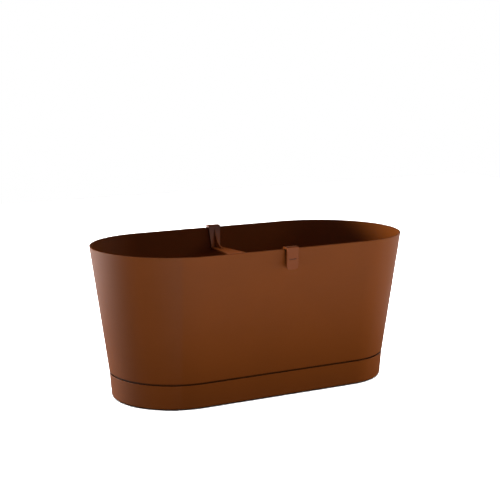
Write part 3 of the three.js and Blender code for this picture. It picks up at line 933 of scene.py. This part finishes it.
def make_window():
    """The clear dome over the rod's bead, with two level rings moulded round it."""
    bottom = window_low.z
    top = window_high.z
    rings = []
    for level in (bottom + 0.0085, bottom + 0.0185):
        rings += [(GAUGE_RADIUS - 0.0004, level - 0.0006, 0), (GAUGE_RADIUS - 0.0004, level + 0.0006, 0)]
    profile = rounded([
        (GAUGE_BORE, bottom, 0),
        (GAUGE_RADIUS, bottom, 0.0003),
        (GAUGE_RADIUS, bottom + 0.0075, 0),
        *rings[:2],
        (GAUGE_RADIUS, bottom + 0.0095, 0),
        (GAUGE_RADIUS, bottom + 0.0175, 0),
        *rings[2:],
        (GAUGE_RADIUS, bottom + 0.0195, 0),
        (GAUGE_RADIUS, top - 0.003, 0.001),
        (GAUGE_RADIUS - 0.003, top, 0.001),
        (0.0003, top, 0),
        (0.0003, top - 0.0015, 0),
        (GAUGE_RADIUS - 0.0036, top - 0.0015, 0.0008),
        (GAUGE_BORE, top - 0.0036, 0.0008),
    ])
    return object_of("gauge_window_visual", shifted(turned(profile, 64, closed=True), GAUGE_X, TUBE_Y))


# ----------------------------------------------------------------------- drain
def make_seal():
    """A rubber ring with rounded edges."""
    near, far = seal_low.y, seal_high.y
    outer = (seal_high.x - seal_low.x) / 2
    profile = rounded([
        (DRAIN_RADIUS, near, 0.0005),
        (outer, near, 0.0008),
        (outer, far, 0.0008),
        (DRAIN_RADIUS, far, 0.0005),
    ])
    return object_of("drain_seal_visual", shifted(along_y(turned(profile, 64, closed=True)), z=DRAIN_Z))


def make_plug():
    """The drain plug: a tapered stem, a scalloped head and a grip bar."""
    stem = DRAIN_RADIUS - TOUCH
    head = seal_high.y + TOUCH
    head_radius = (plug_high.x - plug_low.x) / 2
    profile = rounded([
        (0.0005, plug_low.y, 0),
        (stem - 0.0011, plug_low.y, 0.0003),
        (stem, plug_low.y + 0.0014, 0.0003),
        (stem, head, 0),
        (head_radius, head, 0.0004),
        (head_radius, head + 0.003, 0.0008),
        (0.0005, head + 0.003, 0),
    ])
    grip = shifted(plate(slot_outline(0, 0, 0.0016, 0.008), 0.007), z=head + 0.002)
    plug = combined(object_of("drain_plug_visual", turned(profile, 72)), [grip], "UNION")
    dents = []
    for k in range(16):
        turn = Matrix.Rotation(k * math.pi / 8, 4, "Z")
        dents.append(moved(upright(0.0008, head - 0.001, head + 0.005, head_radius + 0.0003, 0, 12), turn))
    combined(plug, [together(dents)], "DIFFERENCE")
    plug.data.transform(Matrix.Translation((0, 0, DRAIN_Z)) @ Matrix.Rotation(-math.pi / 2, 4, "X"))
    return plug


# -------------------------------------------------------------- the assembly
finished(make_tray(), "tray", pot_plastic, "water_tray")
finished(make_tray_posts(), "tray", pot_plastic, None)
for number, pad_place in enumerate(PAD_PLACES, 1):
    pad = object_of(f"foot_pad_{number}_visual", make_pad(*pad_place))
    finished(pad, "tray", pad_rubber, f"foot_pad_{number}")
pot = finished(make_pot(), "pot", pot_plastic, "pot_shell")
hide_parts("pot_ledge")
brace = make_brace()
softened(brace, 0.0005)
finished(brace, "brace", brace_plastic, "cross_brace")
finished(make_grid(), "grid", inner_plastic, "soil_grid")
for side, word in ((-1, "left"), (1, "right")):
    cup = make_cup(f"wick_cup_{word}_visual", side * (cup_low.x + cup_high.x) / 2)
    softened(cup, 0.0003)
    finished(cup, f"{word}_cup", cup_plastic, f"wick_cup_{word}")
finished(make_fill_tube(), "grid", inner_plastic, "fill_tube")
finished(make_fill_cap(), "cap", inner_plastic, "fill_cap")
finished(make_cap_pin(), "grid", pin_steel, "cap_pin")
finished(make_gauge_tube(), "grid", inner_plastic, "gauge_tube")
finished(make_float(), "float", float_foam, "gauge_float")
finished(make_rod(), "float", rod_red, "gauge_rod")
finished(make_window(), "grid", window_clear, "gauge_window")
finished(make_seal(), "plug", pad_rubber, "drain_seal")
finished(make_plug(), "plug", cup_plastic, "drain_plug")


# ----------------------------------------------------- camera, floor and light
VIEW_AZIMUTH = math.radians(-30.0)
VIEW_ELEVATION = math.radians(12.15)
VIEW_DISTANCE = 2.377
LENS_MM = 94.04
SENSOR_MM = 36.0
SHIFT_X = 0.0004
SHIFT_Y = 0.1201
AIM = Vector((0, 0, 0.1355))

AMBIENT = 0.062
FLOOR_LIGHT = 30.0
FLOOR_HALF = 2.6

# Each panel: name, kind, place, the way it faces, width and height, strength. A fill gives no
# reflection, and a sheen only reflects.
PANELS = [
    ("floor_front", "fill", (0.0, -0.75, 0.004), (0, 0, 1), (1.8, 0.6), 8.0),
    ("low_front", "fill", (0.0, -1.6, 0.13), (0, 1, 0), (1.8, 0.24), 13.0),
    ("low_left", "fill", (-1.6, -0.4, 0.13), (1, 0, 0), (1.6, 0.24), 19.6),
    ("low_right", "fill", (1.6, -0.4, 0.13), (-1, 0, 0), (1.6, 0.24), 47.6),
    ("top_soft", "fill", (0.0, 0.3, 1.6), (0, 0, -1), (1.4, 1.0), 2.2),
    ("back_left", "fill", (-1.0, 1.7, 0.7), (0.5, -0.87, -0.3), (0.8, 0.7), 115.0),
    ("back_left_sheen", "sheen", (-1.0, 1.7, 0.7), (0.5, -0.87, -0.3), (0.8, 0.7), 6.6),
    ("right_high", "fill", (1.8, -0.3, 0.9), (-1, 0.1, -0.4), (1.2, 0.8), 7.3),
    ("back_high", "fill", (0.9, 1.6, 0.9), (-0.5, -0.87, -0.4), (2.4, 0.8), 5.9),
    ("floor_sheen_left", "sheen", (-0.8, 1.1, 0.004), (0, 0, 1), (1.4, 1.2), 1.9),
    ("floor_sheen_right", "sheen", (1.2, 0.0, 0.004), (0, 0, 1), (1.4, 1.2), 1.5),
    ("low_sheen_left", "sheen", (-1.41, 1.41, 0.12), (1, -1, 0), (2.2, 0.24), 47.0),
    ("low_sheen_back", "sheen", (1.1, 1.9, 0.12), (-0.5, -0.87, 0), (4.0, 0.24), 33.0),
]
# These light only the brace, whose strap and leg are brighter than an even light makes them.
BRACE_PANELS = [
    ("brace_front_sheen", "sheen", (0.7, -1.1, 0.4), (-0.55, 0.8, -0.2), (0.9, 0.5), 5.0),
    ("brace_front", "fill", (0.2, -1.4, 0.5), (-0.1, 0.95, -0.25), (1.2, 0.5), 0.8),
    ("strap_glow", "fill", (0.0, 0.0, RIM_TOP - 0.003), (0, 0, -1), (0.12, 0.19), 3.7),
]


def make_camera():
    back = Vector((
        math.sin(VIEW_AZIMUTH) * math.cos(VIEW_ELEVATION),
        -math.cos(VIEW_AZIMUTH) * math.cos(VIEW_ELEVATION),
        math.sin(VIEW_ELEVATION),
    ))
    data = bpy.data.cameras.new("camera")
    data.lens = LENS_MM
    data.sensor_width = SENSOR_MM
    data.shift_x = SHIFT_X
    data.shift_y = SHIFT_Y
    camera = bpy.data.objects.new("camera", data)
    camera.location = AIM + back * VIEW_DISTANCE
    camera.rotation_euler = (-back).to_track_quat("-Z", "Y").to_euler()
    bpy.context.scene.collection.objects.link(camera)
    bpy.context.scene.camera = camera


def make_world():
    """White to the camera, and a dim even light for everything else."""
    world = bpy.data.worlds.new("studio")
    world.use_nodes = True
    nodes = world.node_tree.nodes
    links = world.node_tree.links
    path = nodes.new("ShaderNodeLightPath")
    ambient = nodes["Background"]
    ambient.inputs["Color"].default_value = (1, 1, 1, 1)
    ambient.inputs["Strength"].default_value = AMBIENT
    white = nodes.new("ShaderNodeBackground")
    white.inputs["Color"].default_value = (1, 1, 1, 1)
    white.inputs["Strength"].default_value = 1.0
    mix = nodes.new("ShaderNodeMixShader")
    links.new(path.outputs["Is Camera Ray"], mix.inputs[0])
    links.new(ambient.outputs[0], mix.inputs[1])
    links.new(white.outputs[0], mix.inputs[2])
    links.new(mix.outputs[0], nodes["World Output"].inputs["Surface"])
    bpy.context.scene.world = world


def panel(name, kind, place, facing, size, strength, lit=None):
    """A soft light that the camera doesn't see, for everything or only for the collection given as lit."""
    data = bpy.data.lights.new(name, "AREA")
    data.shape = "RECTANGLE"
    data.size, data.size_y = size
    data.energy = strength * size[0] * size[1]
    light = bpy.data.objects.new(name, data)
    light.location = place
    light.rotation_euler = Vector(facing).to_track_quat("-Z", "Y").to_euler()
    light.visible_camera = False
    light.visible_glossy = kind != "fill"
    light.visible_diffuse = kind != "sheen"
    bpy.context.scene.collection.objects.link(light)
    if lit:
        light.light_linking.receiver_collection = lit
    return light


def make_floor():
    """A plain pale floor with its own light. The panels light the planter, so it sends none back."""
    half = FLOOR_HALF
    corners = [(-half, -half, 0), (half, -half, 0), (half, half, 0), (-half, half, 0)]
    floor = object_of("floor", ([Vector(corner) for corner in corners], [(0, 1, 2, 3)]))
    nodes = Nodes("floor_card")
    mottle = nodes.noise(14.0, 3.0)
    shade = nodes.mixed(mottle, (0.86, 0.86, 0.86, 1), (0.9, 0.9, 0.9, 1))
    nodes.link(shade, nodes.shader.inputs["Base Color"])
    nodes.shader.inputs["Roughness"].default_value = 0.9
    nodes.shader.inputs["Specular IOR Level"].default_value = 0.0
    floor.data.materials.append(nodes.material)
    floor.visible_diffuse = False
    floor.visible_glossy = False
    stage = bpy.data.collections.new("floor_only")
    stage.objects.link(floor)
    panel("floor_light", "fill", (0, 0, 3.0), (0, 0, -1), (5.0, 5.0), FLOOR_LIGHT, stage)


def make_lights():
    for settings in PANELS:
        panel(*settings)
    brace_only = bpy.data.collections.new("brace_only")
    brace_only.objects.link(brace)
    for settings in BRACE_PANELS:
        panel(*settings, brace_only)


make_camera()
make_world()
make_floor()
make_lights()
bpy.context.scene.view_settings.view_transform = "Standard"
